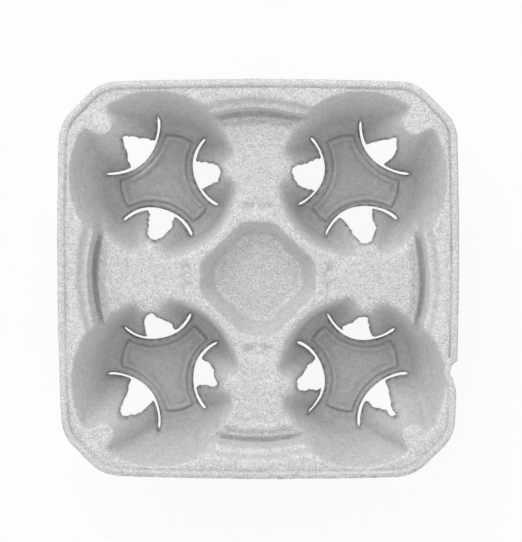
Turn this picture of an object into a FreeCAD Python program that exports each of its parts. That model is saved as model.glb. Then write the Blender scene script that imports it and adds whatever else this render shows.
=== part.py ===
import FreeCAD, Part
import math
import os

# Cup carrier moulded in one piece from paper pulp, in millimetres.
# Z = 0 is the table under the four well floors. X runs to the right, Y to the back.

# Whole tray
height = 45.0
wall = 2.0
side_half = 108.0
side_bow = 1.4
corner_leg = 22.7
corner_round = 22.0

# Raised lip around the rim
lip_width = 3.2
lip_height = 0.8

# Four cup wells, each a cone that leans towards its corner of the tray
rim_side = 6.9
mouth_radius = 45.6
foot_radius = 33.0
well_lean = 4.3
foot_round = 4.0
rim_round = 4.0

# Arms between the wells, with steps up to the rim at the middle of each side
arm_height = 31.0
rim_land = 9.7
shoulder_run = 4.4
shoulder_round = 3.0
ledge_width = 2.2
ledge_height = 39.4
step_run = 1.3
groove_width = 7.9
groove_depth = 3.4

# Recess in the middle, inside a ridge
ridge_width = 7.0
recess_flat_share = 0.27
recess_depth = 13.0
recess_run = 7.3
recess_mouth_round = 6.0
recess_floor_round = 12.0

# Sloping flaps, three to a well: one at the corner and two at the arms. Each is a half cone
# round an upright line, with a nose at its top, and runs on outwards as a tongue
corner_lug_reach = 45.7
corner_lug_base = 27.4
corner_lug_nose = 5.5
corner_lug_spread = 17.0
arm_lug_reach = 39.0
arm_lug_base = 23.2
arm_lug_nose = 6.0
arm_lug_spread = 0.0
arm_lug_turn = 122.6

# Slit along the foot of each lug, and the opening torn through its front
slot_width = 1.3
slot_height = 7.0
opening_inner = 10.0
opening_narrow = 4.6
opening_wide = 9.4
opening_round = 2.5

# Raised bead on each well floor
bead_width = 2.4
bead_height = 0.8
bead_gap = 5.7
bead_reach = 25.0

# Round nub in a shallow dip where each arm meets the ridge
nub_radius = 3.3
nub_offset = 8.0
dip_length = 20.0
dip_width = 6.4
dip_depth = 0.8

# Chip broken out of the rim's right edge
chip_start = -43.0
chip_length = 18.0
chip_depth = 3.9
chip_flat = 3.0

# Short flats that stand for a rounded corner in a turned or lofted profile
round_steps = 3
# How far a cutting shape runs past the face that it cuts
spare = 1.0

rim_height = height - lip_height
mouth_centre = side_half - rim_side - mouth_radius
foot_centre = mouth_centre - well_lean
groove_end = side_half - rim_land - shoulder_run - ledge_width - step_run

# The recess keeps its ridge's width from the wells, measured along a diagonal at arm height
arm_share = (arm_height - wall) / (rim_height - wall)
well_at_arm = foot_centre + well_lean * arm_share
radius_at_arm = foot_radius + (mouth_radius - foot_radius) * arm_share
recess_diagonal = well_at_arm * math.sqrt(2.0) - radius_at_arm - ridge_width
recess_half = recess_diagonal * math.sqrt(2.0) / (1.0 + recess_flat_share)

up = FreeCAD.Vector(0.0, 0.0, 1.0)
centre = FreeCAD.Vector(0.0, 0.0, 0.0)


def meeting_point(first, second):
    # Where two straight stretches, each given by its ends, would cross
    (ax, ay), (bx, by) = first
    (cx, cy), (dx, dy) = second
    across = (bx - ax) * (dy - cy) - (by - ay) * (dx - cx)
    share = ((cx - ax) * (dy - cy) - (cy - ay) * (dx - cx)) / across
    return (ax + share * (bx - ax), ay + share * (by - ay))


def shifted(points, distance):
    # The profile moved outwards and down by one distance, at right angles to each stretch
    stretches = []
    for (ax, ay), (bx, by) in zip(points, points[1:]):
        length = math.hypot(bx - ax, by - ay)
        move_x = distance * (by - ay) / length
        move_y = distance * (ax - bx) / length
        stretches.append(((ax + move_x, ay + move_y), (bx + move_x, by + move_y)))
    result = [stretches[0][0]]
    for before, after in zip(stretches, stretches[1:]):
        result.append(meeting_point(before, after))
    result.append(stretches[-1][1])
    return result


def tangent_points(before, corner, after, radius):
    # Start, middle and end of the arc that rounds a corner, with its centre
    to_before = (before[0] - corner[0], before[1] - corner[1])
    to_after = (after[0] - corner[0], after[1] - corner[1])
    length_before = math.hypot(*to_before)
    length_after = math.hypot(*to_after)
    unit_before = (to_before[0] / length_before, to_before[1] / length_before)
    unit_after = (to_after[0] / length_after, to_after[1] / length_after)
    opening = math.acos(unit_before[0] * unit_after[0] + unit_before[1] * unit_after[1])
    cut = min(radius / math.tan(opening / 2.0), 0.48 * length_before, 0.48 * length_after)
    used = cut * math.tan(opening / 2.0)
    start = (corner[0] + cut * unit_before[0], corner[1] + cut * unit_before[1])
    end = (corner[0] + cut * unit_after[0], corner[1] + cut * unit_after[1])
    to_middle = (unit_before[0] + unit_after[0], unit_before[1] + unit_after[1])
    scale = used / math.sin(opening / 2.0) / math.hypot(*to_middle)
    hub = (corner[0] + to_middle[0] * scale, corner[1] + to_middle[1] * scale)
    return start, end, hub, used


def softened(points, radii):
    # The profile with its inner corners rounded by short flats; a radius of 0 keeps a corner
    result = [points[0]]
    for before, corner, after, radius in zip(points, points[1:], points[2:], radii):
        if radius <= 0.0:
            result.append(corner)
            continue
        start, end, hub, used = tangent_points(before, corner, after, radius)
        first = math.atan2(start[1] - hub[1], start[0] - hub[0])
        turn = math.atan2(end[1] - hub[1], end[0] - hub[0]) - first
        turn = (turn + math.pi) % (2.0 * math.pi) - math.pi
        for step in range(round_steps + 1):
            angle = first + turn * step / round_steps
            result.append((hub[0] + used * math.cos(angle), hub[1] + used * math.sin(angle)))
    result.append(points[-1])
    return result


def rounded_wire(corners, radius, z, bow=0.0):
    # Closed outline with round corners; bow pushes out the middle of every second side
    arcs = []
    count = len(corners)
    for index in range(count):
        before = corners[index - 1]
        after = corners[(index + 1) % count]
        arcs.append(tangent_points(before, corners[index], after, radius))
    edges = []
    for index, (start, end, hub, used) in enumerate(arcs):
        corner = corners[index]
        reach = math.hypot(corner[0] - hub[0], corner[1] - hub[1])
        middle_x = hub[0] + used * (corner[0] - hub[0]) / reach
        middle_y = hub[1] + used * (corner[1] - hub[1]) / reach
        arc_start = FreeCAD.Vector(start[0], start[1], z)
        arc_middle = FreeCAD.Vector(middle_x, middle_y, z)
        arc_end = FreeCAD.Vector(end[0], end[1], z)
        edges.append(Part.Arc(arc_start, arc_middle, arc_end).toShape())
        next_start = FreeCAD.Vector(arcs[(index + 1) % count][0][0], arcs[(index + 1) % count][0][1], z)
        if bow > 0.0 and index % 2 == 0:
            along = next_start.sub(arc_end)
            outwards = FreeCAD.Vector(along.y, -along.x, 0.0).normalize()
            side_middle = arc_end.add(along.multiply(0.5)).add(outwards.multiply(bow))
            edges.append(Part.Arc(arc_end, side_middle, next_start).toShape())
        else:
            edges.append(Part.LineSegment(arc_end, next_start).toShape())
    return Part.Wire(edges)


def prism(wire, rise):
    return Part.Face(wire).extrude(up * rise)


def turned(points, x, y):
    # Solid turned about the upright line at x, y from a profile of radius and height
    corners = [FreeCAD.Vector(radius, 0.0, z) for radius, z in points]
    corners.append(corners[0])
    solid = Part.Face(Part.makePolygon(corners)).revolve(centre, up, 360.0)
    solid.translate(FreeCAD.Vector(x, y, 0.0))
    return solid


def octagon(half, flat):
    # Corners of a square with cut corners: half its width, and half the length of a side
    quarter = [(half, -flat), (half, flat)]
    corners = []
    for turn in range(4):
        for x, y in quarter:
            corners.append((x, y))
        quarter = [(-y, x) for x, y in quarter]
    return corners


def tray_prism(inset, z, rise):
    # The tray's outline, drawn in by an inset all round
    half = side_half - side_bow
    flat = half - corner_leg - inset * (math.sqrt(2.0) - 1.0)
    corners = octagon(half - inset, flat)
    return prism(rounded_wire(corners, corner_round - inset, z, side_bow), rise)


def four_times(solid):
    copies = []
    for turn in range(4):
        copy = solid.copy()
        copy.rotate(centre, up, 90.0 * turn)
        copies.append(copy)
    return copies


def well_cone(offset):
    # Air in the well of the first quarter, from its floor up past the rim
    corners = [(0.0, wall), (foot_radius, wall), (mouth_radius, rim_height)]
    corners.append((mouth_radius + 2.0 * rim_round, rim_height))
    profile = softened(shifted(corners, offset), [foot_round + offset, rim_round - offset])
    sections = profile[1:-1]
    sections.append((sections[-1][0], height + spare))
    wires = []
    for radius, z in sections:
        place = foot_centre + well_lean * (z - wall) / (rim_height - wall)
        circle = Part.Circle(FreeCAD.Vector(place, place, z), up, radius)
        wires.append(Part.Wire(circle.toShape()))
    return Part.makeLoft(wires, True, True)


def lug_places():
    # Each lug of the first quarter: the way to it from the well's middle, its reach and base,
    # its nose with the height of that, and how its sides spread
    corner = (corner_lug_reach, corner_lug_base, corner_lug_nose, rim_height, corner_lug_spread)
    arm = (arm_lug_reach, arm_lug_base, arm_lug_nose, arm_height, arm_lug_spread)
    return [(45.0,) + corner, (45.0 + arm_lug_turn,) + arm, (45.0 - arm_lug_turn,) + arm]


def lug_axis(way, reach):
    x = foot_centre + reach * math.cos(math.radians(way))
    y = foot_centre + reach * math.sin(math.radians(way))
    return x, y


def lug_outline(radius, spread, length, z):
    # Outline that points back to the well's middle: a round nose and two straight sides
    sine = math.sin(math.radians(spread))
    cosine = math.cos(math.radians(spread))
    far = (length + radius * sine) / cosine
    left = FreeCAD.Vector(-radius * sine, radius * cosine, z)
    right = FreeCAD.Vector(-radius * sine, -radius * cosine, z)
    front = FreeCAD.Vector(-radius, 0.0, z)
    far_left = FreeCAD.Vector(length, left.y + far * sine, z)
    far_right = FreeCAD.Vector(length, right.y - far * sine, z)
    edges = [Part.Arc(left, front, right).toShape()]
    for first, second in [(right, far_right), (far_right, far_left), (far_left, left)]:
        edges.append(Part.LineSegment(first, second).toShape())
    return Part.Wire(edges)


def lug_body(way, reach, base, nose, nose_height, spread, offset):
    # The nose is drawn in at right angles to the slope as the air round it grows
    slope = (base - nose) / (nose_height - wall)
    drawn_in = offset * math.hypot(1.0, slope)
    wires = []
    for z in [wall - offset - spare, nose_height + spare]:
        radius = base - slope * (z - wall) - drawn_in
        wires.append(lug_outline(radius, spread, mouth_radius, z))
    solid = Part.makeLoft(wires, True, True)
    solid.rotate(centre, up, way)
    x, y = lug_axis(way, reach)
    solid.translate(FreeCAD.Vector(x, y, 0.0))
    return solid


def basin(offset):
    # Air over the arms, with a groove and the steps up to the rim near the middle of each side
    shoulder_start = groove_end + step_run + ledge_width
    shoulder_end = shoulder_start + shoulder_run
    corners = [
        (0.0, arm_height),
        (groove_end - groove_width, arm_height),
        (groove_end, arm_height - groove_depth),
        (groove_end + step_run, ledge_height),
        (shoulder_start, ledge_height),
        (shoulder_end, rim_height),
        (shoulder_end + 2.0 * shoulder_round, rim_height),
    ]
    radii = [0.0, 0.0, 0.0, 0.0, shoulder_round]
    profile = softened(shifted(corners, offset), radii)
    profile[-1] = (profile[-2][0], height + spare)
    profile.append((0.0, height + spare))
    return turned(profile, 0.0, 0.0)


def recess(offset):
    # Air in the middle recess, a truncated pyramid with eight sides
    floor = arm_height - recess_depth
    corners = [
        (0.0, floor),
        (recess_half - recess_run, floor),
        (recess_half, arm_height),
        (2.0 * recess_half, arm_height),
    ]
    moved = shifted(corners, offset)
    sections = [moved[1], moved[2], (moved[2][0], arm_height + spare)]
    rounds = [recess_floor_round, recess_mouth_round, recess_mouth_round]
    wires = []
    for (reach, z), radius in zip(sections, rounds):
        wires.append(rounded_wire(octagon(reach, reach * recess_flat_share), radius, z))
    return Part.makeLoft(wires, True, True)


def air(offset):
    # All that lies over the moulded sheet, grown by an offset into the sheet
    well = well_cone(offset)
    lugs = [lug_body(*place, offset) for place in lug_places()]
    parts = four_times(well.cut(lugs))
    parts.append(recess(offset))
    parts.append(tray_prism(lip_width if offset == 0.0 else -spare, rim_height - offset, height))
    return basin(offset).fuse(parts)


def slot_and_opening(way, reach, base):
    # The slit runs along the lug's foot as far as the foot of the well
    x, y = lug_axis(way, reach)
    half_turn = math.degrees(
        math.acos((reach ** 2 + base ** 2 - foot_radius ** 2) / (2.0 * reach * base))
    )
    outer = base + slot_width / 2.0
    ring = Part.makeCylinder(outer, slot_height + spare, centre, up, 2.0 * half_turn)
    ring = ring.cut(Part.makeCylinder(base - slot_width / 2.0, slot_height + spare))
    ring.rotate(centre, up, way + 180.0 - half_turn)
    past_base = 1.5 * base
    corners = [
        (opening_inner, -opening_narrow),
        (past_base, -opening_wide * past_base / base),
        (past_base, opening_wide * past_base / base),
        (opening_inner, opening_narrow),
    ]
    rise = height + 2.0 * spare
    gap = prism(rounded_wire(corners, opening_round, 0.0), rise)
    gap = gap.common(Part.makeCylinder(outer, rise))
    gap.rotate(centre, up, way + 180.0)
    cut = ring.fuse(gap)
    cut.translate(FreeCAD.Vector(x, y, -spare))
    return cut


def floor_bead():
    # A raised line round the floor panel, its long sides curved round the three lugs
    half = bead_width / 2.0
    foot = FreeCAD.Vector(foot_centre, foot_centre, wall - bead_height)
    outer = Part.makeCylinder(bead_reach + half, 2.0 * bead_height, foot)
    inner = Part.makeCylinder(bead_reach - half, 2.0 * bead_height, foot)
    for way, reach, base in [place[:3] for place in lug_places()]:
        x, y = lug_axis(way, reach)
        at_lug = FreeCAD.Vector(x, y, wall - 2.0 * bead_height)
        outer = outer.cut(Part.makeCylinder(base + bead_gap - half, 4.0 * bead_height, at_lug))
        inner = inner.cut(Part.makeCylinder(base + bead_gap + half, 4.0 * bead_height, at_lug))
    return outer.cut(inner)


def nub_dip():
    # A lens-shaped dip with a round nub left standing in it
    place = recess_half + nub_offset
    bend = (dip_length ** 2 + dip_width ** 2) / (4.0 * dip_width)
    away = bend - dip_width / 2.0
    low = arm_height - dip_depth
    first = Part.makeCylinder(bend, height, FreeCAD.Vector(0.0, place + away, low))
    second = Part.makeCylinder(bend, height, FreeCAD.Vector(0.0, place - away, low))
    nub = Part.makeCylinder(nub_radius, 2.0 * height, FreeCAD.Vector(0.0, place, 0.0))
    return first.common(second).cut(nub)


def edge_chip():
    outer = side_half + spare
    slope = (chip_length - chip_flat) / 2.0
    inner = side_half - chip_depth
    points = [
        FreeCAD.Vector(outer, chip_start, 0.0),
        FreeCAD.Vector(inner, chip_start - slope / 2.0, 0.0),
        FreeCAD.Vector(inner, chip_start - slope / 2.0 - chip_flat, 0.0),
        FreeCAD.Vector(outer, chip_start - chip_length, 0.0),
        FreeCAD.Vector(outer, chip_start, 0.0),
    ]
    return prism(Part.makePolygon(points), height + spare)


def cup_carrier():
    sheet = air(wall).common(tray_prism(0.0, 0.0, height)).cut(air(0.0))
    sheet = sheet.fuse(four_times(floor_bead()))
    cuts = [edge_chip()]
    for way, reach, base in [place[:3] for place in lug_places()]:
        cuts.extend(four_times(slot_and_opening(way, reach, base)))
    cuts.extend(four_times(nub_dip()))
    return sheet.cut(cuts)


os.makedirs("parts", exist_ok=True)
carrier = cup_carrier()
print("cup_carrier solids", len(carrier.Solids), "valid", carrier.isValid(), "volume", round(carrier.Volume))
carrier.Solids[0].exportStep("parts/cup_carrier.step")
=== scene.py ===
import bpy
import math
import numpy as np
from mathutils import Matrix, Vector
from mathutils.geometry import delaunay_2d_cdt
from mathutils.kdtree import KDTree


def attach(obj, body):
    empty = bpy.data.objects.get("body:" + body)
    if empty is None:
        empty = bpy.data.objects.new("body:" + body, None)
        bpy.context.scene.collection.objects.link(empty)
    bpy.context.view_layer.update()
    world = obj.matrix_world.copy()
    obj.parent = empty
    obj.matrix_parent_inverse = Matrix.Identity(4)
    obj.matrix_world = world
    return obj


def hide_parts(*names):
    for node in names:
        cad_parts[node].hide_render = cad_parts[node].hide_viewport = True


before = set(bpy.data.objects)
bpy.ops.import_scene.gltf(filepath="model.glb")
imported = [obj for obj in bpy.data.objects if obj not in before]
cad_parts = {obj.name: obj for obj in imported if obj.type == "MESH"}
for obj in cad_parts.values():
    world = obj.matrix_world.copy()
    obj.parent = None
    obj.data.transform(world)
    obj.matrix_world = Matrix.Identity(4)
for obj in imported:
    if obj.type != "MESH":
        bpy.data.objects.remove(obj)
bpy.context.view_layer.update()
print("frame loaded")

# Form of the tray. Lengths are in millimetres until a mesh is made.

mm = 0.001
trayForm = {
    "height": 45.0,
    "wall": 2.0,
    "sideHalf": 108.0,
    "sideBow": 1.4,
    "cornerLeg": 22.7,
    "cornerRound": 22.0,
    "lipWidth": 3.8,
    "lipHeight": 0.8,
    "lipGroove": 1.0,
    "edgeCrease": 1.3,
    "rimSide": 6.9,
    "mouthRadius": 45.6,
    "footRadius": 33.0,
    "wellLean": 4.3,
    "footRound": 4.0,
    "armHeight": 31.0,
    "armRound": 4.5,
    "edgeRound": 1.6,
    "rimLand": 9.7,
    "rimRound": 1.6,
    "shoulderRun": 4.4,
    "ledgeWidth": 2.2,
    "ledgeHeight": 39.4,
    "stepRun": 1.3,
    "crestStart": 79.0,
    "crestHeight": 0.6,
    "grooveStart": 82.5,
    "grooveDepth": 3.4,
    "grooveMore": 2.2,
    "ridgeWidth": 7.0,
    "ridgeRound": 1.4,
    "recessFlatShare": 0.27,
    "recessDepth": 13.0,
    "recessRun": 7.3,
    "recessCorner": 2.0,
    "recessFoot": 3.0,
    "cornerBlend": 2.0,
    "armBlend": 3.0,
    "beadWidth": 2.9,
    "beadHeight": 1.1,
    "beadCrease": 1.1,
    "beadGap": 5.7,
    "beadReach": 25.0,
    "nubRadius": 3.3,
    "nubOffset": 8.0,
    "dipLength": 20.0,
    "dipWidth": 6.4,
    "dipDepth": 1.7,
    "waveHeight": 0.28,
    "lumpHeight": 0.07,
    "drift": 0.5,
}
# way from the well's middle in degrees, reach, foot radius, nose radius and its height, spread
lugKinds = {
    "corner": (45.0, 45.7, 27.4, 5.5, 44.2, 17.0),
    "armX": (45.0 + 122.6, 39.0, 23.2, 6.0, 31.0, 0.0),
    "armY": (45.0 - 122.6, 39.0, 23.2, 6.0, 31.0, 0.0),
}

rimHeight = trayForm["height"] - trayForm["lipHeight"]
mouthCentre = trayForm["sideHalf"] - trayForm["rimSide"] - trayForm["mouthRadius"]
footCentre = mouthCentre - trayForm["wellLean"]
wellRise = rimHeight - trayForm["wall"]
wellSlope = (trayForm["mouthRadius"] - trayForm["footRadius"]) / wellRise
shoulderEnd = trayForm["sideHalf"] - trayForm["rimLand"]
shoulderStart = shoulderEnd - trayForm["shoulderRun"]
grooveEnd = shoulderStart - trayForm["ledgeWidth"] - trayForm["stepRun"]
armShare = (trayForm["armHeight"] - trayForm["wall"]) / wellRise
wellEdge = ((footCentre + trayForm["wellLean"] * armShare) * math.sqrt(2.0)
            - trayForm["footRadius"] - wellSlope * wellRise * armShare)
recessHalf = (wellEdge - trayForm["ridgeWidth"]) * math.sqrt(2.0) / (1.0 + trayForm["recessFlatShare"])


def roundUnion(first, second, radius):
    corner = np.hypot(np.maximum(radius - first, 0.0), np.maximum(radius - second, 0.0))
    return np.maximum(radius, np.minimum(first, second)) - corner


def roundOverlap(first, second, radius):
    corner = np.hypot(np.maximum(radius + first, 0.0), np.maximum(radius + second, 0.0))
    return np.minimum(-radius, np.maximum(first, second)) + corner


def smoothStep(low, high, value):
    share = np.clip((value - low) / (high - low), 0.0, 1.0)
    return share * share * (3.0 - 2.0 * share)


def ripple(x, y, length, seed):
    # smooth uneven waves between about -1 and 1, the same on every run
    draw = np.random.default_rng(seed)
    total = np.zeros_like(x)
    waves = 9
    for wave in range(waves):
        angle = draw.uniform(0.0, 2.0 * math.pi)
        stretch = 2.0 * math.pi / (length * draw.uniform(0.6, 1.6))
        along = x * math.cos(angle) + y * math.sin(angle)
        total += np.sin(along * stretch + draw.uniform(0.0, 2.0 * math.pi))
    return total / math.sqrt(waves) * 0.8


def lugAxis(kind):
    way, reach = lugKinds[kind][:2]
    angle = math.radians(way)
    return footCentre + reach * math.cos(angle), footCentre + reach * math.sin(angle)


def wellSide(x, y, z):
    share = (z - trayForm["wall"]) / wellRise
    middle = footCentre + trayForm["wellLean"] * share
    radius = trayForm["footRadius"] + wellSlope * (z - trayForm["wall"])
    return (np.hypot(x - middle, y - middle) - radius) / math.hypot(1.0, wellSlope)


def lugSolid(x, y, z, kind):
    # a half cone that runs on outwards as a tongue: above zero inside it
    way, reach, base, nose, noseHeight, spread = lugKinds[kind]
    axisX, axisY = lugAxis(kind)
    angle, spread = math.radians(way), math.radians(spread)
    along = (x - axisX) * math.cos(angle) + (y - axisY) * math.sin(angle)
    across = np.abs((y - axisY) * math.cos(angle) - (x - axisX) * math.sin(angle))
    beside = across * math.cos(spread) - along * math.sin(spread)
    inFront = along * math.cos(spread) + across * math.sin(spread) < 0.0
    away = np.where(inFront, np.hypot(along, across), beside)
    slope = (base - nose) / (noseHeight - trayForm["wall"])
    radius = base - slope * (z - trayForm["wall"])
    return (radius - away) / math.hypot(1.0, slope)


def wellAir(x, y, z):
    side = wellSide(x, y, z)
    bowl = roundOverlap(side, trayForm["wall"] - z, trayForm["footRound"])
    for kind in lugKinds:
        blend = trayForm["cornerBlend"] if kind == "corner" else trayForm["armBlend"]
        lug = lugSolid(x, y, z, kind)
        bowl = np.maximum(bowl, np.maximum(lug, roundOverlap(side, lug, blend)))
    return bowl


def basinAir(x, y, z):
    # over the arms, with a groove and the steps up to the rim at the middle of each side
    form = trayForm
    radius = np.hypot(x, y)
    towardsX = np.abs(x * x - y * y) / np.maximum(radius * radius, 1.0) * np.where(x > y, 1.0, 0.0)
    depth = form["grooveDepth"] + form["grooveMore"] * towardsX
    crest = form["crestHeight"] * smoothStep(form["crestStart"], form["grooveStart"], radius)
    fall = smoothStep(form["grooveStart"], form["grooveStart"] + 4.0, radius) * 1.5
    nick = 0.45 * smoothStep(form["grooveStart"] + 3.8, form["grooveStart"] + 4.5, radius)
    last = np.clip((radius - form["grooveStart"] - 4.5) / (grooveEnd - form["grooveStart"] - 4.5), 0.0, 1.6)
    floor = form["armHeight"] + crest - fall + nick - (depth - 0.8) * last
    stepSlope = form["stepRun"] / (form["ledgeHeight"] - form["armHeight"] + depth)
    step = radius - grooveEnd - stepSlope * (z - form["armHeight"] + depth)
    low = roundOverlap(step / math.hypot(1.0, 0.11), (floor - z) * 0.85, 0.35)
    shoulderSlope = form["shoulderRun"] / (rimHeight - form["ledgeHeight"])
    shoulder = radius - shoulderStart - shoulderSlope * (z - form["ledgeHeight"])
    high = roundOverlap(shoulder / math.hypot(1.0, shoulderSlope), form["ledgeHeight"] - z, 2.0)
    return roundUnion(low, high, 0.8)


def recessAir(x, y, z):
    form = trayForm
    floor = form["armHeight"] - form["recessDepth"]
    slope = form["recessRun"] / form["recessDepth"]
    half = recessHalf - form["recessRun"] + slope * (z - floor)
    diagonal = half * (1.0 + form["recessFlatShare"]) / math.sqrt(2.0)
    steep = math.hypot(1.0, slope)
    sides = roundOverlap((x - half) / steep, (y - half) / steep, form["recessCorner"])
    slanted = ((x + y) / math.sqrt(2.0) - diagonal) / steep
    sides = roundOverlap(sides, slanted, form["recessCorner"])
    return roundOverlap(sides, floor - z, form["recessFoot"])


def airDistance(x, y, z):
    # below zero in the air over the sheet, and inside it about the distance to its top face
    driftX = trayForm["drift"] * ripple(x, y, 60.0, 3)
    driftY = trayForm["drift"] * ripple(x, y, 60.0, 4)
    x = np.abs(x + driftX)
    y = np.abs(y + driftY)
    land = roundUnion(basinAir(x, y, z), recessAir(x, y, z), trayForm["ridgeRound"])
    land = roundUnion(land, rimHeight - z, trayForm["rimRound"])
    upwards = smoothStep(trayForm["armHeight"] + 1.0, trayForm["armHeight"] + 9.0, z)
    radius = trayForm["armRound"] + (trayForm["edgeRound"] - trayForm["armRound"]) * upwards
    return roundUnion(land, wellAir(x, y, z), radius)


def faceHeight(x, y, level):
    # the height at which the distance into the sheet reaches a level: 0 is its top face
    low = np.full_like(x, -6.0)
    high = np.full_like(x, 60.0)
    for step in range(24):
        middle = 0.5 * (low + high)
        inSheet = airDistance(x, y, middle) > level
        low = np.where(inSheet, middle, low)
        high = np.where(inSheet, high, middle)
    return 0.5 * (low + high)


# Outlines in the plan: the rim, and one slit with a torn opening for each lug

edgeForm = {
    "spacing": 1.5,
    "tearSpacing": 0.7,
    "tearRough": 0.35,
    "slitHalf": 0.72,
    "chipStart": -43.0,
    "chipLength": 17.0,
    "chipDepth": 3.7,
    "inset": 0.3,
}
# For each lug: how far the slit reaches each way in degrees, its radius, then the torn edge as
# pairs of degrees and radius, counted from the way that the lug faces, in a folded quarter
tears = {
    (-1, 1, "corner"): (-54, 49, 27.8, [
        (-24, 26.6), (-25, 23), (-20, 15.6), (-16, 12.4), (-6, 12), (1, 15), (9, 18.3),
        (17, 23.3), (18, 26.6)
    ]),
    (-1, 1, "armX"): (-53, 56, 23.2, [
        (-19, 22), (-21, 20.6), (-23, 16.5), (-25, 11.7), (1, 7.5), (21, 8.6), (23, 12.2),
        (23, 16.5), (21, 22)
    ]),
    (-1, 1, "armY"): (-57, 58, 23.3, [
        (-18, 22), (-17, 18.1), (-18, 14.1), (-20, 10.7), (-5, 7.7), (12, 7.7), (24, 10.4),
        (27, 14), (27, 17.8), (21, 22)
    ]),
    (1, 1, "corner"): (-49, 45, 27.6, [
        (-20, 26.4), (-19, 23.8), (-19, 20.3), (-16, 16.9), (-8, 11.6), (3, 13), (17, 19.2),
        (16, 21.4), (12, 26.4)
    ]),
    (1, 1, "armX"): (-56, 60, 22.4, [
        (-23, 21.3), (-29, 17.9), (-35, 13.4), (-23, 7.1), (9, 5), (25, 8.2), (23, 12),
        (24, 15.4), (27, 19), (26, 21.3)
    ]),
    (1, 1, "armY"): (-57, 57, 24.4, [
        (-20, 23.2), (-23, 18.5), (-33, 13.5), (-32, 9.8), (-26, 6.9), (-1, 5.8), (19, 7.2),
        (22, 10.4), (26, 13.4), (22, 16.4), (25, 23.2)
    ]),
    (-1, -1, "armY"): (-57, 55, 23.1, [
        (-23, 22), (-25, 18.1), (-28, 14.9), (-28, 9.9), (-19, 7), (5, 6.7), (14, 10),
        (20, 13.4), (26, 17.3), (22, 22)
    ]),
    (-1, -1, "armX"): (-52, 57, 23.6, [
        (-20, 22.5), (-23, 18.5), (-21, 14.2), (-5, 11.7), (5, 9.4), (23, 11.4), (21, 14.3),
        (18, 16.6), (23, 22.5)
    ]),
    (-1, -1, "corner"): (-53, 49, 27.4, [
        (-18, 26.2), (-20, 23.6), (-23, 19.6), (-18, 15.1), (-6, 11.7), (9, 12.3), (13, 16.7),
        (16, 21.1), (20, 26.2)
    ]),
    (1, -1, "armY"): (-56, 55, 23.4, [
        (-23, 22.3), (-20, 19.7), (-17, 14.1), (-14, 9.3), (-3, 8.2), (15, 10.9), (21, 16.7),
        (28, 19.9), (23, 22.3)
    ]),
    (1, -1, "armX"): (-58, 64, 22.8, [
        (-20, 21.7), (-21, 19.2), (-21, 16.4), (-13, 12.7), (-10, 8.3), (20, 8.3), (31, 10.4),
        (27, 15.3), (29, 20.1), (25, 21.7)
    ]),
    (1, -1, "corner"): (-50, 45, 27.7, [
        (-18, 26.6), (-19, 21.8), (-14, 19.2), (-9, 16.5), (-11, 13.2), (0, 11.2), (4, 16.4),
        (10, 17.5), (13, 20.5), (17, 26.6)
    ]),
}


def resampled(points, spacing, closed=False):
    # points at even steps along straight runs
    points = np.array(points, dtype=float)
    if closed:
        points = np.vstack([points, points[:1]])
    lengths = np.hypot(*np.diff(points, axis=0).T)
    travelled = np.concatenate([[0.0], np.cumsum(lengths)])
    count = max(int(round(travelled[-1] / spacing)), 2)
    places = np.linspace(0.0, travelled[-1], count + 1)
    if closed:
        places = places[:-1]
    xs = np.interp(places, travelled, points[:, 0])
    ys = np.interp(places, travelled, points[:, 1])
    return np.column_stack([xs, ys])


def arcPoints(centreX, centreY, radius, first, last, count):
    angles = np.radians(np.linspace(first, last, count))
    return np.column_stack([centreX + radius * np.cos(angles), centreY + radius * np.sin(angles)])


def rimOutline(inset):
    # one side and one corner, turned four times
    half = trayForm["sideHalf"] - trayForm["sideBow"] - inset
    flat = trayForm["sideHalf"] - trayForm["sideBow"] - trayForm["cornerLeg"]
    flat -= inset * (math.sqrt(2.0) - 1.0)
    radius = trayForm["cornerRound"] - inset
    cut = radius * math.tan(math.radians(22.5))
    sideEnd = flat - cut
    along = np.linspace(-sideEnd, sideEnd, 41)
    bow = trayForm["sideBow"] * (1.0 - (along / sideEnd) ** 2)
    side = np.column_stack([half + bow, along])
    firstBend = arcPoints(half - radius, sideEnd, radius, 0.0, 45.0, 9)
    secondBend = arcPoints(sideEnd, half - radius, radius, 45.0, 90.0, 9)
    quarter = np.vstack([side, firstBend, secondBend])
    quarters = []
    for turn in range(4):
        quarters.append(quarter)
        quarter = np.column_stack([-quarter[:, 1], quarter[:, 0]])
    return np.vstack(quarters)


def chippedOutline():
    points = resampled(rimOutline(0.0), edgeForm["spacing"], closed=True)
    x, y = points[:, 0], points[:, 1]
    rough = 0.1 * ripple(x, y, 4.0, 11) + 0.12 * ripple(x, y, 30.0, 12)
    inwards = points / np.hypot(points[:, 0], points[:, 1])[:, None]
    points = points - inwards * (edgeForm["inset"] + rough)[:, None]
    share = (edgeForm["chipStart"] - points[:, 1]) / edgeForm["chipLength"]
    inChip = (points[:, 0] > 90.0) & (share > 0.0) & (share < 1.0)
    depth = np.interp(share, [0.0, 0.18, 0.42, 0.6, 1.0], [0.0, 0.85, 1.0, 0.5, 0.0])
    uneven = 0.25 * ripple(points[:, 0], points[:, 1], 2.5, 13)
    points[:, 0] -= np.where(inChip, depth * edgeForm["chipDepth"] + uneven, 0.0)
    return points


def lugFrame(signX, signY, kind):
    axisX, axisY = lugAxis(kind)
    way = lugKinds[kind][0]
    return signX, signY, axisX, axisY, way + 180.0


def fromLug(place, angles, radii):
    signX, signY, axisX, axisY, facing = place
    angles = np.radians(np.asarray(angles, dtype=float) + facing)
    radii = np.asarray(radii, dtype=float)
    x = axisX + radii * np.cos(angles)
    y = axisY + radii * np.sin(angles)
    return np.column_stack([signX * x, signY * y])


def taper(degrees):
    # a slit narrows over its last few degrees
    return np.clip(degrees / 4.0, 0.15, 1.0)


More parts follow.
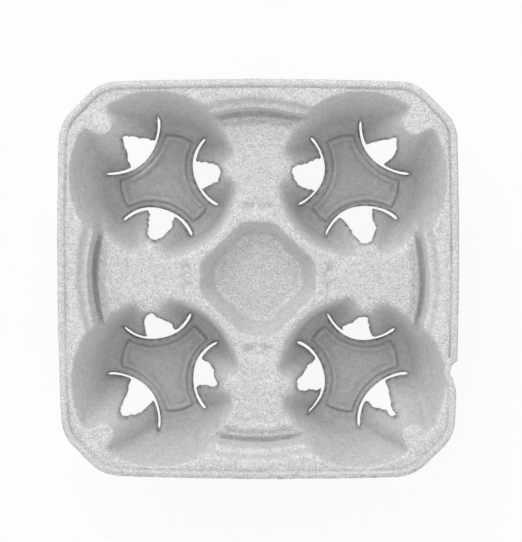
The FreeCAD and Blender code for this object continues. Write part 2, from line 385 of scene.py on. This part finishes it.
def holeOutline(key, seed):
    low, high, radius, torn = tears[key]
    place = lugFrame(*key)
    half = edgeForm["slitHalf"]
    outerAngles = np.linspace(low, high, 60)
    swell = half * (1.0 + 0.35 * np.sin(np.radians(outerAngles * 5.0 + seed * 40.0)))
    ends = taper(high - outerAngles) * taper(outerAngles - low)
    outer = fromLug(place, outerAngles, radius + swell * ends)
    tornAngles = [angle for angle, reach in torn]
    after = np.linspace(high, tornAngles[-1], 24)
    before = np.linspace(tornAngles[0], low, 24)
    innerAfter = fromLug(place, after, radius - half * taper(high - after))
    innerBefore = fromLug(place, before, radius - half * taper(before - low))
    tornEdge = fromLug(place, [a for a, r in reversed(torn)], [r for a, r in reversed(torn)])
    tornEdge = resampled(tornEdge, edgeForm["tearSpacing"])
    rough = edgeForm["tearRough"]
    x, y = tornEdge[:, 0], tornEdge[:, 1]
    shiftX = ripple(x, y, 2.2, seed) + 0.8 * ripple(x, y, 6.0, seed + 50)
    shiftY = ripple(x, y, 2.2, seed + 1) + 0.8 * ripple(x, y, 6.0, seed + 51)
    tornEdge = tornEdge + rough * np.column_stack([shiftX, shiftY])
    points = np.vstack([outer, innerAfter[1:-1], tornEdge, innerBefore[1:-1]])
    if key[0] * key[1] < 0:
        points = points[::-1]
    return resampled(points, edgeForm["tearSpacing"], closed=True)


def insideOutline(points, outline):
    x, y = points[:, 0], points[:, 1]
    inside = np.zeros(len(points), dtype=bool)
    lowX, lowY = outline.min(axis=0)
    highX, highY = outline.max(axis=0)
    near = np.where((x >= lowX) & (x <= highX) & (y >= lowY) & (y <= highY))[0]
    px, py = x[near], y[near]
    hits = np.zeros(len(near), dtype=bool)
    following = np.roll(outline, -1, axis=0)
    for (ax, ay), (bx, by) in zip(outline, following):
        if ay == by:
            continue
        crosses = ((ay > py) != (by > py)) & (px < (bx - ax) * (py - ay) / (by - ay) + ax)
        hits ^= crosses
    inside[near] = hits
    return inside


# Points over the plan, close together where the sheet bends

meshForm = {
    "rest": 2.0,
    "along": 1.7,
    "middle": 1.3,
    "bead": 0.5,
    "beadReach": 2.5,
    "wellRings": 26,
}


class PlanPoints:
    # takes points in turn, and leaves out those too near to one that it has
    def __init__(self):
        self.blocks = []
        self.tree = None

    def add(self, points, gap):
        points = np.asarray(points, dtype=float)
        if self.tree is not None and gap > 0.0:
            keep = [self.tree.find((x, y, 0.0))[2] > gap for x, y in points]
            points = points[np.array(keep, dtype=bool)]
        self.blocks.append(points)
        everything = np.vstack(self.blocks)
        self.tree = KDTree(len(everything))
        for index, (x, y) in enumerate(everything):
            self.tree.insert((x, y, 0.0), index)
        self.tree.balance()


def hexGrid(spacing, low, high):
    rows = np.arange(low, high, spacing * math.sqrt(3.0) / 2.0)
    points = []
    for index, y in enumerate(rows):
        xs = np.arange(low + (index % 2) * spacing / 2.0, high, spacing)
        points.append(np.column_stack([xs, np.full_like(xs, y)]))
    return np.vstack(points)


def ringPoints(centreX, centreY, radii, spacing):
    points = []
    for index, radius in enumerate(radii):
        count = max(int(2.0 * math.pi * radius / spacing), 6)
        start = (index % 2) * 180.0 / count
        points.append(arcPoints(centreX, centreY, radius, start, start + 360.0 - 360.0 / count, count))
    return np.vstack(points)


def quarters(points):
    return np.vstack([points * [signX, signY] for signX in (1, -1) for signY in (1, -1)])


def beadDistance(x, y):
    # distance to the bead's line in a folded quarter
    reach = np.hypot(x - footCentre, y - footCentre)
    edge = reach - trayForm["beadReach"]
    for kind in lugKinds:
        base = lugKinds[kind][2]
        axisX, axisY = lugAxis(kind)
        edge = np.maximum(edge, base + trayForm["beadGap"] - np.hypot(x - axisX, y - axisY))
    return edge


def planPoints(outline, holes):
    plan = PlanPoints()
    plan.add(outline, 0.0)
    for hole in holes:
        plan.add(hole, 0.0)
    fixed = sum(len(block) for block in plan.blocks)
    for inset in (0.45, 1.0, 1.55, 2.4, 3.4, 3.75, 4.1, 4.45, 4.8, 5.4):
        plan.add(resampled(rimOutline(inset), meshForm["along"], closed=True), 0.33)
    grid = hexGrid(meshForm["bead"], footCentre - 28.5, footCentre + 28.5)
    onBead = np.abs(beadDistance(grid[:, 0], grid[:, 1])) < meshForm["beadReach"]
    plan.add(quarters(grid[onBead]), 0.4)
    lugRings = []
    for kind in lugKinds:
        base = lugKinds[kind][2]
        axisX, axisY = lugAxis(kind)
        radii = np.concatenate([np.arange(4.6, 12.5, 0.75), np.arange(12.5, base, 1.15)])
        ring = ringPoints(axisX, axisY, radii, meshForm["along"] * 0.8)
        fromMiddle = np.hypot(ring[:, 0] - mouthCentre, ring[:, 1] - mouthCentre)
        inWell = fromMiddle < trayForm["mouthRadius"] + 3.0
        lugRings.append(ring[inWell])
    lugRings = np.vstack(lugRings)
    plan.add(quarters(lugRings), 0.62)
    wellRings = []
    for share in np.linspace(-0.06, 1.09, meshForm["wellRings"]):
        middle = footCentre + trayForm["wellLean"] * share
        radius = trayForm["footRadius"] + (trayForm["mouthRadius"] - trayForm["footRadius"]) * share
        wellRings.append(ringPoints(middle, middle, [radius], meshForm["along"]))
    wellRings = np.vstack(wellRings)
    wellRings = wellRings[(wellRings[:, 0] > 0.5) & (wellRings[:, 1] > 0.5)]
    plan.add(quarters(wellRings), 0.62)
    radii = np.concatenate([[79.0, 80.2, 81.4, 82.5, 83.6, 84.8], np.arange(85.8, 90.2, 0.6),
                            [90.4, 90.7, 91.1, 91.5, 91.9, 92.4], np.arange(93.2, 100.5, 0.8)])
    plan.add(ringPoints(0.0, 0.0, radii, meshForm["along"]), 0.75)
    grid = hexGrid(meshForm["middle"], -40.0, 40.0)
    grid = grid[np.abs(grid).sum(axis=1) < 56.0]
    plan.add(grid, 0.9)
    plan.add(hexGrid(meshForm["rest"], -109.0, 109.0), 1.15)
    points = np.vstack(plan.blocks)
    free = points[fixed:]
    keep = insideOutline(free, outline)
    for hole in holes:
        keep &= ~insideOutline(free, hole)
    return np.vstack([points[:fixed], free[keep]])


def loopEdges(loops):
    edges = []
    start = 0
    for loop in loops:
        count = len(loop)
        edges.extend((start + index, start + (index + 1) % count) for index in range(count))
        start += count
    return edges


def distanceTo(points, loops):
    # how far each point is from the nearest of some outlines
    marks = np.vstack([resampled(loop, 0.3, closed=True) for loop in loops])
    tree = KDTree(len(marks))
    for index, (x, y) in enumerate(marks):
        tree.insert((x, y, 0.0), index)
    tree.balance()
    return np.array([tree.find((x, y, 0.0))[2] for x, y in points])


def surfaceDetail(x, y, fromRim):
    # lip, beads, nubs and dips, and the unevenness of moulded pulp, added to the top face
    form = trayForm
    foldX, foldY = np.abs(x), np.abs(y)
    lipEnd = form["lipWidth"]
    detail = form["lipHeight"] * (1.0 - smoothStep(lipEnd - 0.45, lipEnd + 0.15, fromRim))
    groove = np.clip(1.0 - np.abs(fromRim - lipEnd - 0.3) / 0.6, 0.0, 1.0)
    detail -= form["lipGroove"] * groove * (0.7 + 0.3 * ripple(x, y, 40.0, 23))
    crease = np.clip(1.0 - np.abs(fromRim - 1.0) / 0.6, 0.0, 1.0) * (1.0 - smoothStep(-104.0, -98.0, y))
    detail -= form["edgeCrease"] * crease
    fromBead = beadDistance(foldX, foldY)
    across = np.clip(np.abs(fromBead + 0.2) / (form["beadWidth"] / 2.0), 0.0, 1.0)
    detail += form["beadHeight"] * (1.0 - smoothStep(0.4, 0.95, across))
    detail -= form["beadCrease"] * np.clip(1.0 - np.abs(fromBead - 1.55) / 0.6, 0.0, 1.0)
    detail -= 0.5 * form["beadCrease"] * np.clip(1.0 - np.abs(fromBead + 1.9) / 0.6, 0.0, 1.0)
    place = recessHalf + form["nubOffset"]
    for along, away in ((foldX, foldY), (foldY, foldX)):
        lens = (2.0 * along / form["dipLength"]) ** 2
        lens += np.abs(2.0 * (away - place) / form["dipWidth"]) ** 1.6
        detail -= form["dipDepth"] * (1.0 - smoothStep(0.45, 1.0, lens))
        nub = np.hypot(along, away - place) / form["nubRadius"]
        detail += 0.8 * form["dipDepth"] * (1.0 - smoothStep(0.35, 1.0, nub))
    detail += form["waveHeight"] * ripple(x, y, 34.0, 21) * smoothStep(4.0, 16.0, fromRim)
    detail += form["lumpHeight"] * ripple(x, y, 5.0, 22) * smoothStep(0.0, 4.0, fromRim)
    return detail


def buildSheet():
    outline = chippedOutline()
    holes = [holeOutline(key, 100 + 7 * index) for index, key in enumerate(tears)]
    points = planPoints(outline, holes)
    print("plan points", len(points))
    edges = loopEdges([outline] + holes)
    result = delaunay_2d_cdt([Vector(point) for point in points], edges, [], 0, 1e-5)
    plan = np.array([tuple(vertex) for vertex in result[0]])
    faces = np.array([tuple(face) for face in result[2]])
    middles = plan[faces].mean(axis=1)
    keep = insideOutline(middles, outline)
    for hole in holes:
        keep &= ~insideOutline(middles, hole)
    faces = faces[keep]
    x, y = plan[:, 0], plan[:, 1]
    fromRim = distanceTo(plan, [outline])
    fromHole = distanceTo(plan, holes)
    fray = 1.0 - smoothStep(0.0, 1.8, fromHole)
    edgeRoll = (1.0 - np.clip(fromRim / 1.5, 0.0, 1.0)) ** 2
    top = faceHeight(x, y, 0.0) + surfaceDetail(x, y, fromRim)
    top = top - 0.45 * fray - 0.9 * edgeRoll
    bottom = faceHeight(x, y, trayForm["wall"]) + 0.5 * fray + 0.35 * edgeRoll
    bottom = np.maximum(bottom, 0.0)
    top = np.maximum(top, bottom + 0.5)
    top = np.minimum(top, trayForm["height"] - 0.03)
    print("faces a side", len(faces), "thinnest", round(float((top - bottom).min()), 2))
    return plan, faces, top, bottom, fromHole


def sheetMesh(name):
    plan, faces, top, bottom, fromHole = buildSheet()
    count = len(plan)
    upper = np.column_stack([plan, top])
    lower = np.column_stack([plan, bottom])
    sides = {}
    for a, b, c in faces:
        for edge in ((a, b), (b, c), (c, a)):
            if (edge[1], edge[0]) in sides:
                del sides[(edge[1], edge[0])]
            else:
                sides[edge] = True
    polygons = [tuple(face) for face in faces]
    polygons += [(a + count, c + count, b + count) for a, b, c in faces]
    polygons += [(b, a, a + count, b + count) for a, b in sides]
    mesh = bpy.data.meshes.new(name)
    places = (np.vstack([upper, lower]) * mm).tolist()
    mesh.from_pydata(places, [], [tuple(int(index) for index in polygon) for polygon in polygons])
    mesh.validate()
    # nearness to the holes, for the fibres and for the painted shade along the torn edges
    fray = mesh.attributes.new("fray", "FLOAT", "POINT")
    values = np.concatenate([fromHole, fromHole])
    fray.data.foreach_set("value", np.clip(1.0 - values / 2.0, 0.0, 1.0).astype(np.float32))
    mesh.shade_smooth()
    piece = bpy.data.objects.new(name, mesh)
    bpy.context.collection.objects.link(piece)
    return piece


def mathNode(tree, kind, first, second):
    node = tree.nodes.new("ShaderNodeMath")
    node.operation = kind
    for socket, value in zip(node.inputs, (first, second)):
        if isinstance(value, float):
            socket.default_value = value
        else:
            tree.links.new(value, socket)
    return node.outputs["Value"]


# Paper pulp

pulpLook = {
    "colour": (0.70, 0.70, 0.695, 1.0),
    # painted shade on walls and deep floors, as a share of the colour
    "paintedWallFloorShade": 0.8,
    "wallFloorGrain": 0.45,
    # painted shade along torn edges, as a share of the colour
    "tornShade": 0.5,
    "roughness": 0.95,
}


def pulpMaterial():
    material = bpy.data.materials.new("greyPulp")
    material.use_nodes = True
    tree = material.node_tree
    nodes, links = tree.nodes, tree.links
    nodes.clear()
    output = nodes.new("ShaderNodeOutputMaterial")
    shader = nodes.new("ShaderNodeBsdfPrincipled")
    shader.inputs["Roughness"].default_value = pulpLook["roughness"]
    shader.inputs["Specular IOR Level"].default_value = 0.2
    links.new(shader.outputs["BSDF"], output.inputs["Surface"])
    place = nodes.new("ShaderNodeTexCoord")

    def noise(scale, detail, rough):
        node = nodes.new("ShaderNodeTexNoise")
        node.inputs["Scale"].default_value = scale
        node.inputs["Detail"].default_value = detail
        node.inputs["Roughness"].default_value = rough
        links.new(place.outputs["Object"], node.inputs["Vector"])
        return node.outputs["Fac"]

    def ramp(source, low, high, fromValue, toValue):
        node = nodes.new("ShaderNodeMapRange")
        node.inputs["From Min"].default_value = low
        node.inputs["From Max"].default_value = high
        node.inputs["To Min"].default_value = fromValue
        node.inputs["To Max"].default_value = toValue
        links.new(source, node.inputs["Value"])
        return node.outputs["Result"]

    # painted shade: walls and deep floors are darker than the level tops, and their grain is fainter
    surface = nodes.new("ShaderNodeNewGeometry")
    normalParts = nodes.new("ShaderNodeSeparateXYZ")
    links.new(surface.outputs["Normal"], normalParts.inputs["Vector"])
    parts = nodes.new("ShaderNodeSeparateXYZ")
    links.new(place.outputs["Object"], parts.inputs["Vector"])
    level = ramp(mathNode(tree, "ABSOLUTE", normalParts.outputs["Z"], 0.0), 0.72, 0.92, 0.0, 1.0)
    levelHighTops = mathNode(tree, "MULTIPLY", level, ramp(parts.outputs["Z"], 0.010, 0.016, 0.0, 1.0))
    # painted shade: darker off the level high tops
    paintedShade = ramp(levelHighTops, 0.0, 1.0, pulpLook["paintedWallFloorShade"], 1.0)
    # painted shade: torn edges are darker in patches
    fray = nodes.new("ShaderNodeAttribute")
    fray.attribute_type = "GEOMETRY"
    fray.attribute_name = "fray"
    atEdge = ramp(fray.outputs["Fac"], 0.1, 0.8, 0.0, 1.0)
    patches = mathNode(tree, "MULTIPLY", atEdge, ramp(noise(420.0, 2.0, 0.6), 0.42, 0.58, 0.25, 1.0))
    paintedShade = mathNode(tree, "MULTIPLY", paintedShade, ramp(patches, 0.0, 1.0, 1.0, pulpLook["tornShade"]))
    grain = ramp(noise(1000.0, 3.0, 0.7), 0.3, 0.7, -0.36, 0.36)
    grain = mathNode(tree, "MULTIPLY", grain, ramp(levelHighTops, 0.0, 1.0, pulpLook["wallFloorGrain"], 1.0))
    mottle = ramp(noise(330.0, 3.0, 0.6), 0.3, 0.7, -0.09, 0.09)
    cloud = ramp(noise(45.0, 2.0, 0.5), 0.3, 0.7, -0.02, 0.02)
    shade = mathNode(tree, "ADD", mathNode(tree, "ADD", grain, mottle), mathNode(tree, "ADD", cloud, 1.0))
    fleckShape = nodes.new("ShaderNodeTexVoronoi")
    fleckShape.inputs["Scale"].default_value = 170.0
    links.new(place.outputs["Object"], fleckShape.inputs["Vector"])
    fleckChance = noise(95.0, 1.0, 0.5)
    fleck = ramp(fleckShape.outputs["Distance"], 0.05, 0.10, 0.35, 0.0)
    fleck = mathNode(tree, "MULTIPLY", fleck, ramp(fleckChance, 0.58, 0.62, 0.0, 1.0))
    # the painted shade darkens the colour here
    shade = mathNode(tree, "MULTIPLY", mathNode(tree, "SUBTRACT", shade, fleck), paintedShade)
    tint = nodes.new("ShaderNodeMix")
    tint.data_type = "RGBA"
    tint.blend_type = "MULTIPLY"
    tint.inputs["Factor"].default_value = 1.0
    tint.inputs["A"].default_value = pulpLook["colour"]
    combine = nodes.new("ShaderNodeCombineColor")
    for channel in ("Red", "Green", "Blue"):
        links.new(shade, combine.inputs[channel])
    links.new(combine.outputs["Color"], tint.inputs["B"])
    links.new(tint.outputs["Result"], shader.inputs["Base Color"])
    fine = ramp(noise(900.0, 4.0, 0.65), 0.0, 1.0, 0.0, 0.6)
    rough = mathNode(tree, "ADD", fine, ramp(noise(240.0, 2.0, 0.5), 0.0, 1.0, 0.0, 1.0))
    bump = nodes.new("ShaderNodeBump")
    bump.inputs["Strength"].default_value = 0.8
    bump.inputs["Distance"].default_value = 0.0008
    links.new(rough, bump.inputs["Height"])
    links.new(bump.outputs["Normal"], shader.inputs["Normal"])
    return material


# Loose fibres on the sheet, closer together along the torn edges

fibreForm = {
    "density": 14000.0,
    "tornDensity": 1200000.0,
    "length": 0.0019,
    "thickness": 0.00006,
    "reach": 0.1015,
    "cornerReach": 0.181,
    "lowest": 0.0036,
    "seed": 5,
}


def fibreGroup():
    group = bpy.data.node_groups.new("scatteredFibres", "GeometryNodeTree")
    sockets = group.interface
    sockets.new_socket("Geometry", in_out="INPUT", socket_type="NodeSocketGeometry")
    for name in ("Density", "Torn density", "Length", "Thickness", "Reach", "Corner reach", "Lowest"):
        sockets.new_socket(name, in_out="INPUT", socket_type="NodeSocketFloat")
    sockets.new_socket("Seed", in_out="INPUT", socket_type="NodeSocketInt")
    sockets.new_socket("Material", in_out="INPUT", socket_type="NodeSocketMaterial")
    sockets.new_socket("Geometry", in_out="OUTPUT", socket_type="NodeSocketGeometry")
    nodes, links = group.nodes, group.links
    start = nodes.new("NodeGroupInput")
    end = nodes.new("NodeGroupOutput")

    fray = nodes.new("GeometryNodeInputNamedAttribute")
    fray.data_type = "FLOAT"
    fray.inputs["Name"].default_value = "fray"
    torn = mathNode(group, "POWER", fray.outputs["Attribute"], 3.0)
    atTear = mathNode(group, "MULTIPLY", torn, start.outputs["Torn density"])
    density = mathNode(group, "ADD", start.outputs["Density"], atTear)
    normal = nodes.new("GeometryNodeInputNormal")
    normalParts = nodes.new("ShaderNodeSeparateXYZ")
    links.new(normal.outputs["Normal"], normalParts.inputs["Vector"])
    position = nodes.new("GeometryNodeInputPosition")
    parts = nodes.new("ShaderNodeSeparateXYZ")
    links.new(position.outputs["Position"], parts.inputs["Vector"])
    foldX = mathNode(group, "ABSOLUTE", parts.outputs["X"], 0.0)
    foldY = mathNode(group, "ABSOLUTE", parts.outputs["Y"], 0.0)
    inside = mathNode(group, "LESS_THAN", mathNode(group, "MAXIMUM", foldX, foldY), start.outputs["Reach"])
    foldSum = mathNode(group, "ADD", foldX, foldY)
    inCorner = mathNode(group, "LESS_THAN", foldSum, start.outputs["Corner reach"])
    above = mathNode(group, "GREATER_THAN", parts.outputs["Z"], start.outputs["Lowest"])
    faceUp = mathNode(group, "GREATER_THAN", normalParts.outputs["Z"], 0.2)
    inPlan = mathNode(group, "MULTIPLY", inside, inCorner)
    chosen = mathNode(group, "MULTIPLY", inPlan, mathNode(group, "MULTIPLY", above, faceUp))
    scatter = nodes.new("GeometryNodeDistributePointsOnFaces")
    links.new(start.outputs["Geometry"], scatter.inputs["Mesh"])
    links.new(chosen, scatter.inputs["Selection"])
    links.new(density, scatter.inputs["Density"])
    links.new(start.outputs["Seed"], scatter.inputs["Seed"])
    line = nodes.new("GeometryNodeCurveQuadraticBezier")
    line.inputs["Resolution"].default_value = 4
    line.inputs["Start"].default_value = (-0.5, 0.0, 0.0)
    line.inputs["Middle"].default_value = (0.05, 0.35, 0.09)
    line.inputs["End"].default_value = (0.5, -0.05, 0.03)
    sized = nodes.new("GeometryNodeTransform")
    lengths = nodes.new("ShaderNodeCombineXYZ")
    for axis in ("X", "Y", "Z"):
        links.new(start.outputs["Length"], lengths.inputs[axis])
    links.new(line.outputs["Curve"], sized.inputs["Geometry"])
    links.new(lengths.outputs["Vector"], sized.inputs["Scale"])
    ring = nodes.new("GeometryNodeCurvePrimitiveCircle")
    ring.inputs["Resolution"].default_value = 4
    links.new(start.outputs["Thickness"], ring.inputs["Radius"])
    tube = nodes.new("GeometryNodeCurveToMesh")
    tube.inputs["Fill Caps"].default_value = True
    links.new(sized.outputs["Geometry"], tube.inputs["Curve"])
    links.new(ring.outputs["Curve"], tube.inputs["Profile Curve"])
    twist = nodes.new("FunctionNodeRandomValue")
    twist.data_type = "FLOAT"
    twist.inputs[2].default_value = 0.0
    twist.inputs[3].default_value = 2.0 * math.pi
    links.new(start.outputs["Seed"], twist.inputs["Seed"])
    turn = nodes.new("ShaderNodeCombineXYZ")
    links.new(twist.outputs[1], turn.inputs["Z"])
    turnBy = nodes.new("FunctionNodeEulerToRotation")
    links.new(turn.outputs["Vector"], turnBy.inputs["Euler"])
    turned = nodes.new("FunctionNodeRotateRotation")
    turned.rotation_space = "LOCAL"
    links.new(scatter.outputs["Rotation"], turned.inputs["Rotation"])
    links.new(turnBy.outputs["Rotation"], turned.inputs["Rotate By"])
    grow = nodes.new("FunctionNodeRandomValue")
    grow.data_type = "FLOAT"
    grow.inputs[2].default_value = 0.35
    grow.inputs[3].default_value = 1.15
    grow.inputs["Seed"].default_value = 9
    place = nodes.new("GeometryNodeInstanceOnPoints")
    links.new(scatter.outputs["Points"], place.inputs["Points"])
    links.new(tube.outputs["Mesh"], place.inputs["Instance"])
    links.new(turned.outputs["Rotation"], place.inputs["Rotation"])
    links.new(grow.outputs[1], place.inputs["Scale"])
    real = nodes.new("GeometryNodeRealizeInstances")
    links.new(place.outputs["Instances"], real.inputs["Geometry"])
    paint = nodes.new("GeometryNodeSetMaterial")
    links.new(real.outputs["Geometry"], paint.inputs["Geometry"])
    links.new(start.outputs["Material"], paint.inputs["Material"])
    links.new(paint.outputs["Geometry"], end.inputs["Geometry"])
    return group


def fibrePiece(sheet, material):
    group = fibreGroup()
    piece = bpy.data.objects.new("pulpFibres", sheet.data.copy())
    bpy.context.collection.objects.link(piece)
    modifier = piece.modifiers.new("fibres", "NODES")
    modifier.node_group = group
    values = {
        "Density": fibreForm["density"],
        "Torn density": fibreForm["tornDensity"],
        "Length": fibreForm["length"],
        "Thickness": fibreForm["thickness"],
        "Reach": fibreForm["reach"],
        "Corner reach": fibreForm["cornerReach"],
        "Lowest": fibreForm["lowest"],
        "Seed": fibreForm["seed"],
        "Material": material,
    }
    for socket in group.interface.items_tree:
        if socket.in_out == "INPUT" and socket.name in values:
            modifier[socket.identifier] = values[socket.name]
    bpy.context.view_layer.update()
    shaped = piece.evaluated_get(bpy.context.evaluated_depsgraph_get())
    mesh = bpy.data.meshes.new_from_object(shaped)
    piece.modifiers.clear()
    piece.data = mesh
    return piece


# Floor, light and camera

stageLook = {
    "floorHalf": 3.0,
    "shadowShare": 0.1,
    "zenithLight": 0.5,
    "horizonLight": 1.5,
    "keyPower": 12.0,
}
cameraView = {
    "lean": (0.0193, 0.084),
    "target": (1.73, 5.25),
    "distance": 1.013,
    "lens": 125.6,
}


def whiteForCamera(tree, shader, output, share):
    # the camera sees white, less a share that keeps the object's shadow
    nodes, links = tree.nodes, tree.links
    path = nodes.new("ShaderNodeLightPath")
    seen = nodes.new("ShaderNodeMath")
    seen.operation = "MAXIMUM"
    links.new(path.outputs["Is Camera Ray"], seen.inputs[0])
    links.new(path.outputs["Is Transmission Ray"], seen.inputs[1])
    glossy = nodes.new("ShaderNodeMath")
    glossy.operation = "MAXIMUM"
    links.new(seen.outputs["Value"], glossy.inputs[0])
    links.new(path.outputs["Is Glossy Ray"], glossy.inputs[1])
    amount = nodes.new("ShaderNodeMath")
    amount.operation = "MULTIPLY"
    amount.inputs[1].default_value = 1.0 - share
    links.new(glossy.outputs["Value"], amount.inputs[0])
    onSurface = output.bl_idname == "ShaderNodeOutputMaterial"
    white = nodes.new("ShaderNodeEmission" if onSurface else "ShaderNodeBackground")
    white.inputs["Color"].default_value = (1.0, 1.0, 1.0, 1.0)
    white.inputs["Strength"].default_value = 1.0
    mix = nodes.new("ShaderNodeMixShader")
    links.new(amount.outputs["Value"], mix.inputs["Fac"])
    links.new(shader, mix.inputs[1])
    links.new(white.outputs[0], mix.inputs[2])
    links.new(mix.outputs["Shader"], output.inputs["Surface"])


def buildStage():
    half = stageLook["floorHalf"]
    mesh = bpy.data.meshes.new("floor")
    corners = [(-half, -half, 0.0), (half, -half, 0.0), (half, half, 0.0), (-half, half, 0.0)]
    mesh.from_pydata(corners, [], [(0, 1, 2, 3)])
    floor = bpy.data.objects.new("floor", mesh)
    bpy.context.collection.objects.link(floor)
    material = bpy.data.materials.new("paleFloor")
    material.use_nodes = True
    nodes = material.node_tree.nodes
    nodes.clear()
    output = nodes.new("ShaderNodeOutputMaterial")
    diffuse = nodes.new("ShaderNodeBsdfDiffuse")
    diffuse.inputs["Color"].default_value = (0.86, 0.86, 0.86, 1.0)
    whiteForCamera(material.node_tree, diffuse.outputs["BSDF"], output, stageLook["shadowShare"])
    mesh.materials.append(material)
    world = bpy.data.worlds.new("studio")
    bpy.context.scene.world = world
    world.use_nodes = True
    nodes = world.node_tree.nodes
    nodes.clear()
    output = nodes.new("ShaderNodeOutputWorld")
    background = nodes.new("ShaderNodeBackground")
    background.inputs["Color"].default_value = (1.0, 1.0, 1.0, 1.0)
    place = nodes.new("ShaderNodeTexCoord")
    height = nodes.new("ShaderNodeSeparateXYZ")
    level = nodes.new("ShaderNodeMapRange")
    level.inputs["From Min"].default_value = 0.0
    level.inputs["From Max"].default_value = 0.95
    level.inputs["To Min"].default_value = stageLook["horizonLight"]
    level.inputs["To Max"].default_value = stageLook["zenithLight"]
    world.node_tree.links.new(place.outputs["Generated"], height.inputs["Vector"])
    world.node_tree.links.new(height.outputs["Z"], level.inputs["Value"])
    world.node_tree.links.new(level.outputs["Result"], background.inputs["Strength"])
    whiteForCamera(world.node_tree, background.outputs["Background"], output, 0.0)


def areaLight(name, place, size, power):
    light = bpy.data.lights.new(name, "AREA")
    light.shape = "SQUARE"
    light.size = size
    light.energy = power
    lamp = bpy.data.objects.new(name, light)
    lamp.location = place
    lamp.rotation_euler = (-Vector(place)).to_track_quat("-Z", "Y").to_euler()
    bpy.context.collection.objects.link(lamp)


def buildCamera():
    view = cameraView
    away = Vector((*view["lean"], 1.0)).normalized()
    target = Vector((*view["target"], trayForm["height"])) * mm
    right = Vector((0.0, 1.0, 0.0)).cross(away).normalized()
    upwards = away.cross(right)
    camera = bpy.data.cameras.new("camera")
    camera.lens = view["lens"]
    camera.sensor_width = 36.0
    camera.clip_start = 0.05
    holder = bpy.data.objects.new("camera", camera)
    turn = Matrix((right, upwards, away)).transposed().to_4x4()
    holder.matrix_world = Matrix.Translation(target + away * view["distance"]) @ turn
    bpy.context.collection.objects.link(holder)
    bpy.context.scene.camera = holder


sheet = sheetMesh("pulpSheet")
pulp = pulpMaterial()
sheet.data.materials.append(pulp)
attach(sheet, "root")
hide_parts("cup_carrier")
print("sheet made", len(sheet.data.polygons))

fibres = fibrePiece(sheet, pulp)
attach(fibres, "root")
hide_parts("cup_carrier")
print("fibres made", len(fibres.data.polygons))

buildStage()
areaLight("keyLight", (-0.5, 1.4, 0.9), 1.2, stageLook["keyPower"])
buildCamera()
bpy.context.scene.view_settings.view_transform = "Standard"
print("stage made")
